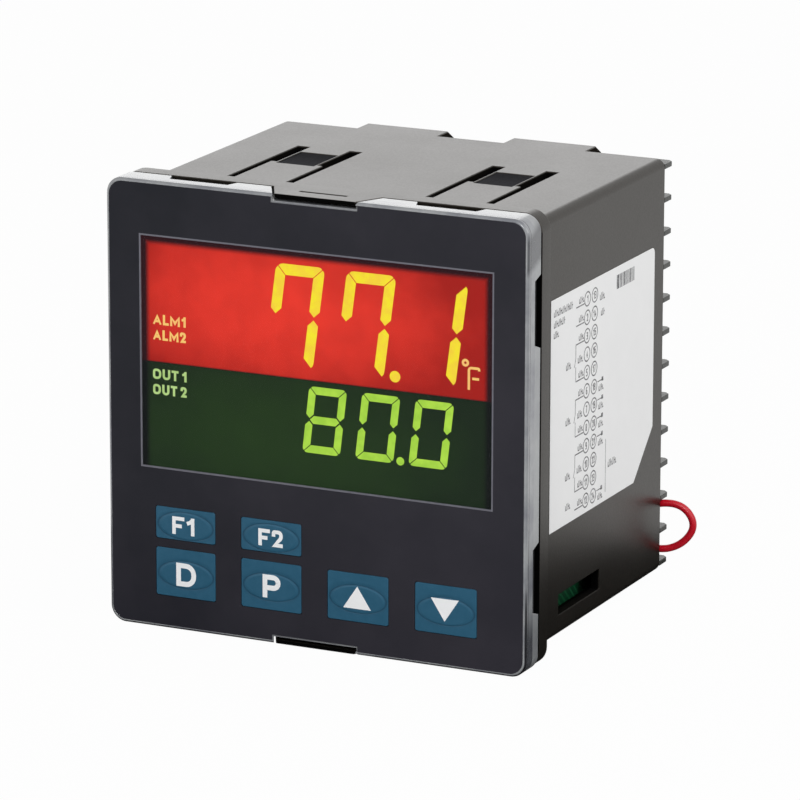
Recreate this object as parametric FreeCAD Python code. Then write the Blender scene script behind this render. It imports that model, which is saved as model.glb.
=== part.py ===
import FreeCAD, Part
import math, os

# Panel-mounted temperature controller, 96 x 96 mm front, in mm.
# X is to the right seen from the front, Y runs back into the panel, Z is up.
# The origin is the middle of the plane where the case collar meets the panel's front.

# ---- outside
FRONT = 96.0          # square front of bezel and collar
BODY = 91.0           # square case behind the panel, for a 92 mm cut-out
FACE_Y = -11.0        # foremost surface
BEZEL_REAR = -4.8
COLLAR_FRONT = -4.4
CASE_REAR = 65.3
CASE_WALL = 2.0
BODY_R = 2.0          # long edges of the case
COLLAR_R = 4.0
BEZEL_R = 3.5

# ---- front
FILM_T = 0.25
FILM_SIDE = 94.6
FILM_R = 3.0
PLATE_T = 2.0         # front wall of the bezel behind the film
WINDOW = (80.1, 49.3)
WINDOW_C = (0.05, 11.65)
LINE_W = 0.35         # printed line round the window
LENS_STEP = (82.0, 51.2)
LENS_T = 1.25
KEY_WELL = 0.1        # clearance round a key
KEY_PROUD = 0.12
KEY_R = 0.5
KEY_FLANGE = 0.8
KEY_TRAVEL = 0.5
KEY_W = 13.9
KEYS = {
    "key_f1": (-30.0, -24.95, 6.9),
    "key_f2": (-10.0, -24.95, 6.9),
    "key_d": (-30.0, -35.6, 10.4),
    "key_p": (-10.0, -35.6, 10.4),
    "key_up": (10.0, -35.6, 10.4),
    "key_down": (30.0, -35.6, 10.4),
}
NOTCH_HALF = (9.4, 12.7)      # latch notch, at the face and at the bezel's rear edge
NOTCH_DEPTH = 1.45
NOTCH_RIM = 0.45              # bare rim of the bezel between the film and each notch
TONGUE_HALF = (9.1, 12.4)
TONGUE_T = 0.8

# ---- display
LIT_Y = -9.6                  # front of the lit fields
FIELD_HALF = (40.8, 25.4)     # half size of both lit fields together
FIELD_SPLIT = 9.2
DIGIT_T = 0.05
BAR_GAP = 0.13                # dark mitre between two lit bars
TIP_GAP = 0.33                # from the digit's middle to the tips beside it
CORNER_TURN = 0.68            # round outer corner of a digit, as a share of the bar's width

# ---- boards and rear
BOARD_T = 1.6
DISPLAY_BOARD_Y = -3.6
SIDE_BOARD_X = 39.4
REAR_BOARD_Y = 53.0
WAYS = 12
PITCH = 7.3
BARRIER_T = 1.1
BARRIER_TIP = 69.9
BARRIER_CUT = 0.9     # chamfer of each barrier's tip
STRIP_X = (26.6, 43.4)        # terminal block, inside the case
BARRIER_X = (28.0, 45.5)
SCREW_X = 34.5

os.makedirs("parts", exist_ok=True)
V = FreeCAD.Vector


def box(x0, x1, y0, y1, z0, z1):
    return Part.makeBox(x1 - x0, y1 - y0, z1 - z0, V(x0, y0, z0))


def along(shape, axis):
    """Edges of the shape that run along one axis."""
    def runs(edge):
        d = edge.Vertexes[-1].Point - edge.Vertexes[0].Point
        return d.Length > 0 and abs(d.dot(axis)) > 0.999 * d.Length
    return [e for e in shape.Edges if len(e.Vertexes) == 2 and runs(e)]


def slab(w, h, r, y0, y1, cx=0.0, cz=0.0):
    """Rounded rectangle in X and Z, extruded along Y."""
    s = box(cx - w / 2, cx + w / 2, y0, y1, cz - h / 2, cz + h / 2)
    return s.makeFillet(r, along(s, V(0, 1, 0))) if r else s


def prism(points, direction):
    """Closed outline of points, extruded along a vector."""
    return Part.Face(Part.makePolygon(points + [points[0]])).extrude(direction)


def rod(r, y0, y1, x, z):
    return Part.makeCylinder(r, y1 - y0, V(x, y0, z), V(0, 1, 0))


def few_sided(r0, r1, y0, y1, x, z, sides=12):
    """Round part that repeats often: a regular prism or frustum along Y, with few sides."""
    rings = []
    for r, y in ((r0, y0), (r1, y1)):
        turns = [2 * math.pi * i / sides for i in range(sides + 1)]
        rings.append(Part.makePolygon([V(x + r * math.cos(t), y, z + r * math.sin(t)) for t in turns]))
    return Part.makeLoft(rings, True, True)


def fuse(shapes):
    return shapes[0].multiFuse(shapes[1:]).removeSplitter() if len(shapes) > 1 else shapes[0]


def mirror(shape, normal):
    return shape.mirror(V(0, 0, 0), normal)


def save(name, shape):
    solids = shape if isinstance(shape, list) else [shape]
    whole = solids[0] if len(solids) == 1 else Part.makeCompound(solids)
    whole.exportStep("parts/%s.step" % name)
    print(name, "solids", sum(len(s.Solids) for s in solids), "valid", whole.isValid())


# ---- rear case: sleeve, collar, latch tongues, clip channels, vent slots, hooks

CHANNEL_X = 22.9              # middle of each clip channel
CHANNEL_OUT = 7.6             # outer edge of its slots from that middle
SLOT_NARROW = (1.5, 10.3, 27.5)
SLOT_WIDE = (2.8, 27.5, 43.3)
RACK_HALF = 4.35
RACK_Y = (26.5, 38.1)
RACK_SINK = 0.9
VENT_Y = (11.2, 32.4)
VENT_Z = (-40.7, -36.3)
HOOK_X = (7.8, 27.1)
HOOK_LINE = ((65.3, 45.5), (70.7, 45.5), (73.8, 43.6), (73.8, 42.9), (65.3, 42.9))


def channel_cut(x):
    """Two stepped slots through the top wall, and the seat of the rack between them."""
    top = BODY / 2 + 1
    low = BODY / 2 - CASE_WALL - 1
    cuts = []
    for side in (-1, 1):
        for width, y0, y1 in (SLOT_NARROW, SLOT_WIDE):
            a = x + side * CHANNEL_OUT
            b = a - side * width
            cuts.append(box(min(a, b), max(a, b), y0, y1, low, top))
    seat_z = BODY / 2 - RACK_SINK
    cuts.append(box(x - RACK_HALF, x + RACK_HALF, RACK_Y[0], RACK_Y[1], seat_z, top))
    return cuts


def tongue():
    """Tapered latch tongue of the collar, reaching forward into the bezel's notch."""
    y0 = FACE_Y + 0.25
    z = FRONT / 2 - TONGUE_T
    a, b = TONGUE_HALF
    plate = prism([V(-a, y0, z), V(a, y0, z), V(b, COLLAR_FRONT, z), V(-b, COLLAR_FRONT, z)],
                  V(0, 0, TONGUE_T))
    return plate.cut(box(-5.3, 5.3, -6.85, -6.15, z - 1, FRONT))


def hook(x0, x1):
    return prism([V(x0, y, z) for y, z in HOOK_LINE], V(x1 - x0, 0, 0))


def rear_case():
    sleeve = slab(BODY, BODY, BODY_R, COLLAR_FRONT, CASE_REAR)
    collar = slab(FRONT, FRONT, COLLAR_R, COLLAR_FRONT, 0)
    inner = BODY - 2 * CASE_WALL
    case = fuse([sleeve, collar]).cut(slab(inner, inner, 1.2, COLLAR_FRONT - 1, CASE_REAR + 1))
    extras = []
    for half in (tongue(), hook(*HOOK_X), hook(-HOOK_X[1], -HOOK_X[0])):
        extras += [half, mirror(half, V(0, 0, 1))]
    extras += board_rails()
    case = fuse([case] + extras)
    cuts = channel_cut(CHANNEL_X) + channel_cut(-CHANNEL_X)
    cuts += [mirror(c, V(0, 0, 1)) for c in cuts]
    for side in (-1, 1):
        x = side * (BODY / 2 - CASE_WALL / 2)
        cuts.append(box(x - 2, x + 2, VENT_Y[0], VENT_Y[1], VENT_Z[0], VENT_Z[1]))
    return case.cut(Part.makeCompound(cuts))


def board_rails():
    """Ribs inside top and bottom that hold the edges of the two side boards."""
    inner = BODY / 2 - CASE_WALL
    ribs = []
    for side in (-1, 1):
        for x0 in (SIDE_BOARD_X - 1.1, SIDE_BOARD_X + BOARD_T + 0.1):
            a, b = sorted((side * x0, side * (x0 + 1.0)))
            for end in (-1, 1):
                z0, z1 = sorted((end * (inner - 1.6), end * inner))
                ribs.append(box(a, b, 1.0, REAR_BOARD_Y - 1, z0, z1))
    return ribs


def clip_racks():
    """Four racks of fine saw teeth that the mounting clips ratchet along."""
    teeth = 11
    step = (RACK_Y[1] - RACK_Y[0]) / teeth
    base = BODY / 2 - RACK_SINK
    crest = BODY / 2 - 0.15
    line = [V(0, RACK_Y[0], base), V(0, RACK_Y[1], base)]
    for i in range(teeth, 0, -1):
        y = RACK_Y[0] + i * step
        line += [V(0, y, crest), V(0, y - step, crest - 0.45)]
    racks = []
    for x in (-CHANNEL_X, CHANNEL_X):
        rack = prism(line, V(2 * RACK_HALF, 0, 0))
        rack.translate(V(x - RACK_HALF, 0, 0))
        racks += [rack, mirror(rack, V(0, 0, 1))]
    return racks


# ---- bezel and front film

EDGE_NOTCH = (20.3, 35.9, 21.5, 34.8)     # at the rear edge, then at the notch's floor
EDGE_NOTCH_Y = -7.6
SKIRT_SIDE = 86.6
SKIRT_WALL = 1.2
SKIRT_REAR = -0.6


def latch_notch(y0, y1, rim=0.0):
    """Tapered gap in the bezel's edge that takes the case tongue, wider by a rim all round."""
    a, b = NOTCH_HALF[0] + rim, NOTCH_HALF[1] + rim
    slope = (b - a) / (BEZEL_REAR - FACE_Y)
    ha = a + slope * (y0 - FACE_Y)
    hb = a + slope * (y1 - FACE_Y)
    z = FRONT / 2 - NOTCH_DEPTH - rim
    return prism([V(-ha, y0, z), V(ha, y0, z), V(hb, y1, z), V(-hb, y1, z)], V(0, 0, 5))


def edge_notches():
    """Eight slanted notches in the bezel's rear edge, two a side."""
    a, b, c, d = EDGE_NOTCH
    y1 = BEZEL_REAR + 0.5
    line = [V(a, y1, 40), V(b, y1, 40), V(d, EDGE_NOTCH_Y, 40), V(c, EDGE_NOTCH_Y, 40)]
    one = prism(line, V(0, 0, 10))
    pair = [one, mirror(one, V(1, 0, 0))]
    cuts = []
    for turn in range(4):
        for s in pair:
            t = s.copy()
            t.rotate(V(0, 0, 0), V(0, 1, 0), 90 * turn)
            cuts.append(t)
    return cuts


def key_wells(y0, y1, r):
    g = 2 * KEY_WELL
    return [slab(KEY_W + g, h + g, r, y0, y1, x, z) for x, z, h in KEYS.values()]


def front_bezel():
    shell = slab(FRONT, FRONT, BEZEL_R, FACE_Y, BEZEL_REAR)
    rim = [e for e in shell.Edges if max(v.Y for v in e.Vertexes) < FACE_Y + 0.01]
    shell = shell.makeChamfer(0.5, rim)
    wall_y = FACE_Y + FILM_T + PLATE_T
    shell = shell.cut(slab(BODY, BODY, 1.5, wall_y, BEZEL_REAR + 1))
    outer = slab(SKIRT_SIDE, SKIRT_SIDE, 1.0, wall_y, SKIRT_REAR)
    inner_side = SKIRT_SIDE - 2 * SKIRT_WALL
    skirt = outer.cut(slab(inner_side, inner_side, 0, wall_y - 1, SKIRT_REAR + 1))
    shell = fuse([shell, skirt])
    w, h = LENS_STEP[0] + 0.1, LENS_STEP[1] + 0.1
    cuts = [slab(FILM_SIDE, FILM_SIDE, FILM_R, FACE_Y - 1, FACE_Y + FILM_T)]
    cuts.append(slab(w, h, 0, FACE_Y, wall_y + 0.01, *WINDOW_C))
    cuts += key_wells(FACE_Y, wall_y + 0.01, 0)
    notch = latch_notch(FACE_Y, BEZEL_REAR)
    cuts += [notch, mirror(notch, V(0, 0, 1))] + edge_notches()
    return shell.cut(Part.makeCompound(cuts))


def front_film():
    y1 = FACE_Y + FILM_T
    film = slab(FILM_SIDE, FILM_SIDE, FILM_R, FACE_Y, y1)
    w, h = WINDOW[0] + 2 * LINE_W, WINDOW[1] + 2 * LINE_W
    notch = latch_notch(FACE_Y - 0.001, y1, NOTCH_RIM)
    cuts = [slab(w, h, 0, FACE_Y - 1, y1 + 1, *WINDOW_C), notch, mirror(notch, V(0, 0, 1))]
    return film.cut(Part.makeCompound(cuts + key_wells(FACE_Y - 1, y1 + 1, KEY_R)))


def window_line():
    w, h = WINDOW[0] + 2 * LINE_W, WINDOW[1] + 2 * LINE_W
    ring = slab(w, h, 0, FACE_Y, FACE_Y + FILM_T, *WINDOW_C)
    return ring.cut(slab(WINDOW[0], WINDOW[1], 0, FACE_Y - 1, FACE_Y + 1, *WINDOW_C))


def window_lens():
    front = slab(WINDOW[0], WINDOW[1], 0, FACE_Y, FACE_Y + FILM_T, *WINDOW_C)
    rear = slab(LENS_STEP[0], LENS_STEP[1], 0, FACE_Y + FILM_T, FACE_Y + LENS_T, *WINDOW_C)
    return fuse([front, rear])


STEM_END_Y = -4.72    # just clear of the snap dome when the key is pressed home


def key(x, z, h):
    """Key cap with a retaining flange behind the wall and a plunger to its switch."""
    wall_y = FACE_Y + FILM_T + PLATE_T
    cap = slab(KEY_W, h, KEY_R - 0.05, FACE_Y - KEY_PROUD, wall_y, x, z)
    g = 2 * KEY_FLANGE
    flange = slab(KEY_W + g, h + g, 0, wall_y, wall_y + 0.8, x, z)
    return fuse([cap, flange, rod(1.5, wall_y, STEM_END_Y, x, z)])


def seal_ring():
    """Thin ring that closes the joint between bezel and case."""
    ring = slab(93.6, 93.6, 2.5, BEZEL_REAR, COLLAR_FRONT)
    return ring.cut(slab(91.4, 91.4, 0, BEZEL_REAR - 1, COLLAR_FRONT + 1))


# ---- display: glass, lit fields, digits, backlight

SEGMENTS = {"8": "abcdefg", "0": "abcdef", "7": "abcf", "1": "bc"}


def bar_outline(name, w, h, t):
    """One lit bar before the lean. Bars meet in mitres at the digit's corners, whose outer
    sides are round, and end in points at the middle bar."""
    g = BAR_GAP
    m = t / 2
    r = CORNER_TURN * t
    middle = h / 2
    if name == "g":
        half = [(g, middle), (m + g, middle + m), (w - m - g, middle + m)]
        return half + [(w - x, h - z) for x, z in half]
    steep, shallow = (r * (1 - math.sin(a * math.pi / 8)) for a in (2, 3))
    near = r * (1 - math.cos(3 * math.pi / 8))
    if name in "ad":
        half = [(m + g, h - m), (steep - m + g, h + m - steep), (near - m, h + m - shallow),
                (r - m, h + m)]
        bar = half + [(w - x, z) for x, z in reversed(half)]
    else:
        bar = [(m, h - m - g), (steep - m, h + m - steep - g), (shallow - m, h + m - near),
               (-m, h + m - r), (-m, middle + m + TIP_GAP), (0, middle + TIP_GAP),
               (m, middle + m + TIP_GAP)]
    if name in "bc":
        bar = [(w - x, z) for x, z in bar]
    if name in "dec":
        bar = [(x, h - z) for x, z in bar]
    return bar


def lit(points):
    line = [V(x, LIT_Y - DIGIT_T, z) for x, z in points]
    return prism(line, V(0, DIGIT_T, 0))


def digit(char, right, row):
    """Leaning seven-bar digit; right is the middle of its right-hand bars at the bottom."""
    left = right - row["w"]
    out = []
    for name in SEGMENTS[char]:
        pts = bar_outline(name, row["w"], row["h"], row["t"])
        out.append(lit([(left + x + row["lean"] * z, row["bottom"] + z) for x, z in pts]))
    return out


def dot(x, z, r):
    return rod(r, LIT_Y - DIGIT_T, LIT_Y, x, z)


# Places and sizes of the two rows in mm; lean is x per z.
UPPER = {"right": -2.02, "bottom": 12.43, "w": 8.8, "h": 19.65, "t": 2.34, "pitch": 16.12,
         "lean": 0.132, "dot": (3.65, -0.28, 1.2)}
LOWER = {"right": 4.5, "bottom": -5.4, "w": 6.98, "h": 12.55, "t": 1.64, "pitch": 12.1,
         "lean": 0.117, "dot": (2.39, -0.19, 0.88)}
DOT_AFTER = 1                 # the point follows the second digit of both rows


def reading(text, row):
    out = []
    for i, char in enumerate(text):
        right = row["right"] + i * row["pitch"]
        out += digit(char, right, row)
        if i == DOT_AFTER:
            x, z, r = row["dot"]
            out.append(dot(right + x, row["bottom"] + z, r))
    return out


def display_fields():
    cx, cz = WINDOW_C
    half_w, half_h = FIELD_HALF
    red = box(cx - half_w, cx + half_w, LIT_Y, LIT_Y + 0.4, FIELD_SPLIT, cz + half_h)
    green = box(cx - half_w, cx + half_w, LIT_Y, LIT_Y + 0.4, cz - half_h, FIELD_SPLIT)
    return red, green


def display_stack():
    """Glass panel, backlight box and its lamps, between the fields and the board."""
    glass = slab(81.8, 51.0, 0, LIT_Y + 0.4, LIT_Y + 2.4, *WINDOW_C)
    y0 = LIT_Y + 2.4
    house = slab(83.0, 53.0, 0, y0, DISPLAY_BOARD_Y, *WINDOW_C)
    house = house.cut(slab(79.0, 48.0, 0, y0 - 1, DISPLAY_BOARD_Y + 1, *WINDOW_C))
    rib = box(WINDOW_C[0] - 39.5, WINDOW_C[0] + 39.5, y0, DISPLAY_BOARD_Y, 8.45, 9.45)
    lamps = []
    for row in (-5.0, 2.0, 18.0, 28.0):
        for i in range(6):
            x = WINDOW_C[0] - 32.5 + 13 * i
            lamps.append(box(x - 1, x + 1, DISPLAY_BOARD_Y - 0.9, DISPLAY_BOARD_Y, row - 1, row + 1))
    return glass, fuse([house, rib]), lamps


# ---- boards and what they carry

def boards():
    y = DISPLAY_BOARD_Y
    side = 84.0
    display = slab(side, side, 0, y, y + BOARD_T)
    x = SIDE_BOARD_X
    io = box(x, x + BOARD_T, -0.4, REAR_BOARD_Y, -42.3, 42.3)
    power = mirror(io, V(1, 0, 0))
    rear = slab(85.6, 85.6, 0, REAR_BOARD_Y, REAR_BOARD_Y + BOARD_T)
    return display, io, power, rear


DOME_T = 0.6


def key_domes():
    """Snap domes on the display board, one under each key."""
    y = DISPLAY_BOARD_Y
    return [few_sided(3.0, 1.4, y, y - DOME_T, x, z) for x, z, _ in KEYS.values()]


def board_connectors():
    """Angle headers from the side boards to the display board and the rear board."""
    y = DISPLAY_BOARD_Y + BOARD_T
    x0, x1 = SIDE_BOARD_X - 3.0, SIDE_BOARD_X
    front = box(x0, x1, y, y + 5.5, -16, 16)
    rear = box(x0, x1, REAR_BOARD_Y - 5.0, REAR_BOARD_Y, -38, -4)
    return [front, rear, mirror(front, V(1, 0, 0)), mirror(rear, V(1, 0, 0))]


def transformer():
    """Laminated core with a bobbin and its winding, on the power board."""
    x0 = -SIDE_BOARD_X
    core = box(x0 + 1.5, x0 + 25.5, 8, 34, 4, 34)
    window = [box(x0, x0 + 27, 12.5, 17, 9, 29), box(x0, x0 + 27, 25, 29.5, 9, 29)]
    core = core.cut(Part.makeCompound(window))
    coil = box(x0 + 1.5, x0 + 27.5, 12.7, 29.3, 9.3, 28.7).cut(box(x0, x0 + 30, 16.9, 25.1, 3, 35))
    coil = coil.cut(box(x0, x0 + 1.5, 0, 60, 0, 40))
    bobbin = box(x0, x0 + 1.5, 7, 35, 3, 35)
    return core, coil.Solids, bobbin


def power_parts():
    x0 = -SIDE_BOARD_X
    caps = [Part.makeCylinder(r, n, V(x0, y, z), V(1, 0, 0)) for r, n, y, z in (
        (6.0, 22.0, 14.0, -14.0), (5.0, 16.0, 28.0, -14.0), (4.0, 12.0, 39.0, -10.0))]
    caps = [c.makeChamfer(0.5, [e for e in c.Edges if e.BoundBox.XMin > x0 + 5]) for c in caps]
    regulator = box(x0, x0 + 14, 42.0, 44.6, 8, 18)
    sink = box(x0, x0 + 20, 44.6, 46.2, 3, 27)
    fins = [box(x0, x0 + 20, 46.2, 50.5, z, z + 1.2) for z in (3.0, 8.7, 14.4, 20.1, 25.8)]
    return caps, regulator, fuse([sink] + fins)


def io_parts():
    x1 = SIDE_BOARD_X
    relays = [box(x1 - 15, x1, 30, 47, z, z + 10) for z in (-37.0, -25.0, 19.0, 31.0)]
    couplers = [box(x1 - 3.6, x1, 20, 26, z, z + 4.6) for z in (-36.0, -28.0, 22.0, 30.0)]
    chip = box(x1 - 1.6, x1, 12, 24, -7, 5)
    small = []
    for i in range(6):
        z = -20.0 + 7.0 * i
        small.append(box(x1 - 0.9, x1, 5.0, 6.6, z, z + 0.9))
        small.append(box(x1 - 1.2, x1, 28.0, 30.0 - 0.8, z, z + 2.0))
    return relays, couplers, chip, small


def processor():
    y = DISPLAY_BOARD_Y + BOARD_T
    return slab(12.0, 12.0, 0, y, y + 1.5, 0.0, 6.0)


# ---- rear: terminal blocks, barriers, plates, clamps, screws, cover

def way_centres():
    return [PITCH * (i - (WAYS - 1) / 2) for i in range(WAYS)]


def terminal_block():
    x0, x1 = STRIP_X
    block = box(x0, x1, REAR_BOARD_Y + BOARD_T, CASE_REAR, -43.3, 43.3)
    return block.makeChamfer(0.6, along(block, V(0, 1, 0)))


def barriers():
    """Thirteen upright plates with chamfered tips, one on each side of every way."""
    x0, x1 = BARRIER_X
    plates = []
    for i in range(WAYS + 1):
        z = PITCH * (i - WAYS / 2)
        plate = box(x0, x1, CASE_REAR, BARRIER_TIP, z - BARRIER_T / 2, z + BARRIER_T / 2)
        tip = [e for e in along(plate, V(0, 0, 1)) if e.Vertexes[0].Y > BARRIER_TIP - 0.1]
        plates.append(plate.makeChamfer(BARRIER_CUT, tip))
    return plates


def wire_clamp(z, y):
    """Square clamp whose two side edges turn down towards the contact plate."""
    h = 2.7
    line = [V(0, y, z - h), V(0, y + 1.0, z - h), V(0, y + 1.0, z + h), V(0, y, z + h),
            V(0, y, z + h - 0.6), V(0, y + 0.4, z + h - 1.0),
            V(0, y + 0.4, z - h + 1.0), V(0, y, z - h + 0.6)]
    clamp = prism(line, V(5.8, 0, 0))
    clamp.translate(V(SCREW_X - 2.9, 0, 0))
    return clamp


def terminal_metal():
    """Contact plate, wire clamp and screw head of every way."""
    plates, clamps, screws = [], [], []
    for z in way_centres():
        y = CASE_REAR
        plates.append(box(SCREW_X - 4.5, SCREW_X + 4.0, y, y + 0.8, z - 2.7, z + 2.7))
        clamps.append(wire_clamp(z, y + 0.8))
        screws.append(few_sided(2.4, 2.4, y + 1.8, y + 3.4, SCREW_X, z))
    return plates, clamps, screws


def both(shapes):
    return shapes + [mirror(s, V(1, 0, 0)) for s in shapes]


def rear_cover():
    """Centre plate of the rear, between the terminal blocks, with a shallow recess."""
    half = STRIP_X[0] - 0.1
    plate = box(-half, half, REAR_BOARD_Y + BOARD_T, CASE_REAR, -43.4, 43.4)
    core = box(-half + 2, half - 2, REAR_BOARD_Y, CASE_REAR - 3.0, -41.4, 41.4)
    recess = slab(2 * half - 8, 78.0, 2.0, CASE_REAR - 1.0, CASE_REAR + 1)
    return plate.cut(Part.makeCompound([core, recess]))


# ---- side label

LABEL_Y = (5.9, 60.0)
LABEL_Z = (-21.9, 27.5)
LABEL_T = 0.12
LABEL_CUT = 10.1
LABEL_R = 1.3


def side_label():
    """Thin plate with its upper rear corner rounded and its lower rear corner cut."""
    x = BODY / 2
    y0, y1 = LABEL_Y
    z0, z1 = LABEL_Z
    line = [V(x, y0, z0), V(x, y1 - LABEL_CUT, z0), V(x, y1, z0 + LABEL_CUT), V(x, y1, z1), V(x, y0, z1)]
    label = prism(line, V(LABEL_T, 0, 0))
    rear_top = [e for e in along(label, V(1, 0, 0))
                if e.Vertexes[0].Z > z1 - 0.1 and e.Vertexes[0].Y > y1 - 0.1]
    return label.makeFillet(LABEL_R, rear_top)


# ---- jumper wire between two neighbouring terminals

WIRE_D = 1.6
WIRE_ROUTE = (
    (39.5, 66.6, -32.6), (44.2, 66.6, -30.5), (50.1, 67.1, -30.5), (53.1, 67.4, -34.9),
    (49.9, 67.1, -39.6), (44.4, 66.6, -41.4), (39.5, 66.6, -40.3),
)


def bent_path(route):
    """Straight runs joined by arcs, each as large as its two runs allow."""
    pts = [V(*p) for p in route]
    runs = [(b - a).Length for a, b in zip(pts, pts[1:])]
    edges, start = [], pts[0]
    for i in range(1, len(pts) - 1):
        back = (pts[i - 1] - pts[i]).normalize()
        on = (pts[i + 1] - pts[i]).normalize()
        half = (math.pi - back.getAngle(on)) / 2
        radius = 0.45 * min(runs[i - 1], runs[i]) / math.tan(half)
        t = radius * math.tan(half)
        a, b = pts[i] + back * t, pts[i] + on * t
        mid = (back + on).normalize()
        apex = pts[i] + mid * (radius / math.cos(half) - radius)
        edges += [Part.LineSegment(start, a).toShape(), Part.Arc(a, apex, b).toShape()]
        start = b
        print("wire bend radius %.2f mm" % radius)
    edges.append(Part.LineSegment(start, pts[-1]).toShape())
    return Part.Wire(edges)


def jumper():
    path = bent_path(WIRE_ROUTE)
    start, nxt = V(*WIRE_ROUTE[0]), V(*WIRE_ROUTE[1])
    ring = Part.Wire([Part.makeCircle(WIRE_D / 2, start, nxt - start)])
    tube = path.makePipeShell([ring], True, False)
    section = math.pi * (WIRE_D / 2) ** 2
    print("wire length %.2f, volume over section %.2f" % (path.Length, tube.Volume / section))
    ends = []
    for a, b in ((0, 1), (-1, -2)):
        p, q = V(*WIRE_ROUTE[a]), V(*WIRE_ROUTE[b])
        out = (p - q).normalize()
        ends.append(Part.makeCylinder(0.45, 1.9, p, out))
    return tube, ends


# ---- write every piece

save("rear_case", rear_case())
save("clip_racks", clip_racks())
save("front_bezel", front_bezel())
save("front_film", front_film())
save("window_line", window_line())
save("window_lens", window_lens())
for key_name, (key_x, key_z, key_h) in KEYS.items():
    save(key_name, key(key_x, key_z, key_h))
save("seal_ring", seal_ring())
red_field, green_field = display_fields()
save("red_field", red_field)
save("green_field", green_field)
save("upper_digits", reading("771", UPPER))
save("lower_digits", reading("800", LOWER))
lcd_glass, backlight_box, backlight_lamps = display_stack()
save("lcd_glass", lcd_glass)
save("backlight_box", backlight_box)
save("backlight_lamps", backlight_lamps)
display_board, io_board, power_board, rear_board = boards()
save("display_board", display_board)
save("io_board", io_board)
save("power_board", power_board)
save("rear_board", rear_board)
save("key_domes", key_domes())
save("board_connectors", board_connectors())
save("processor", processor())
core, windings, bobbin = transformer()
save("transformer_core", core)
save("transformer_windings", windings)
save("transformer_bobbin", bobbin)
capacitors, regulator, heat_sink = power_parts()
save("filter_capacitors", capacitors)
save("regulator", regulator)
save("heat_sink", heat_sink)
relays, couplers, microcontroller, small_parts = io_parts()
save("output_relays", relays)
save("opto_couplers", couplers)
save("microcontroller", microcontroller)
save("small_parts", small_parts)
save("terminal_block_right", terminal_block())
save("terminal_block_left", mirror(terminal_block(), V(1, 0, 0)))
save("barriers_right", barriers())
save("barriers_left", [mirror(b, V(1, 0, 0)) for b in barriers()])
contact_plates, wire_clamps, terminal_screws = terminal_metal()
save("contact_plates", both(contact_plates))
save("wire_clamps", both(wire_clamps))
save("terminal_screws", both(terminal_screws))
save("rear_cover", rear_cover())
save("side_label", side_label())
wire, wire_ends = jumper()
save("jumper_wire", wire)
save("jumper_ends", wire_ends)
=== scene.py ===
import math

import bmesh
import bpy
import numpy as np
from mathutils import Matrix, Vector


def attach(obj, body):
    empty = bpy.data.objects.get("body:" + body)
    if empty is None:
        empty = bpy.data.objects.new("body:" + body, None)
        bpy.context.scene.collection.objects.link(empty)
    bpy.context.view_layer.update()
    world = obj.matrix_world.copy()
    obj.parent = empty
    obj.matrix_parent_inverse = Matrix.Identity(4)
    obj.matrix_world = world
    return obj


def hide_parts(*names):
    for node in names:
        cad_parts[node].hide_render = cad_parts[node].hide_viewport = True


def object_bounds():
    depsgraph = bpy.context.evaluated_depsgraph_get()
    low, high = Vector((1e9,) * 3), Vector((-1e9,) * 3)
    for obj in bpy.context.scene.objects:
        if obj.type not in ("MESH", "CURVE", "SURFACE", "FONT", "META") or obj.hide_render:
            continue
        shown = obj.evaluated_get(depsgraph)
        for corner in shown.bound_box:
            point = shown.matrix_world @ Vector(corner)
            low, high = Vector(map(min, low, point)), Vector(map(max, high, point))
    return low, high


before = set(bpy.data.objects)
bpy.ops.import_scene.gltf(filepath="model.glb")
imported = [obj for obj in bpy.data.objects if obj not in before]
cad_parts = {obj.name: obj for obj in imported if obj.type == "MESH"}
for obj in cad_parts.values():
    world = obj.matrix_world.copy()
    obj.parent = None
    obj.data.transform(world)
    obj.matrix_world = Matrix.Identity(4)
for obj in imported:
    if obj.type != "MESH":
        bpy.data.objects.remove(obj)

cad_box = [list(corner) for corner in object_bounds()]


# ---- jumper wire
# A short insulated copper wire that joins two neighbouring terminals at the rear.
# It is stiff, bent by hand into one loop, and its bare ends are held under two clamps.

class Value:
    """A socket of a material's nodes. Arithmetic on it adds Math nodes to the material."""

    def __init__(self, finish, socket):
        self.finish = finish
        self.socket = socket

    def pair(self, operation, first, second):
        return self.finish.node("ShaderNodeMath", {"operation": operation}, {0: first, 1: second})

    def __add__(self, other):
        return self.pair("ADD", self, other)

    def __radd__(self, other):
        return self.pair("ADD", other, self)

    def __sub__(self, other):
        return self.pair("SUBTRACT", self, other)

    def __rsub__(self, other):
        return self.pair("SUBTRACT", other, self)

    def __mul__(self, other):
        return self.pair("MULTIPLY", self, other)

    def __rmul__(self, other):
        return self.pair("MULTIPLY", other, self)

    def __truediv__(self, other):
        return self.pair("DIVIDE", self, other)

    def __pow__(self, other):
        return self.pair("POWER", self, other)

    def least(self, other):
        return self.pair("MINIMUM", self, other)

    def most(self, other):
        return self.pair("MAXIMUM", self, other)

    def size(self):
        return self.finish.node("ShaderNodeMath", {"operation": "ABSOLUTE"}, {0: self})

    def folded(self, span):
        """Runs up to the span and down to 0 again, over and over."""
        return self.pair("PINGPONG", self, span)

    def eased(self, low, high, start=0.0, end=1.0):
        """Runs smoothly from start to end while this value runs from low to high."""
        return self.finish.node(
            "ShaderNodeMapRange", {"interpolation_type": "SMOOTHSTEP"},
            {"Value": self, "From Min": low, "From Max": high, "To Min": start, "To Max": end})


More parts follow.
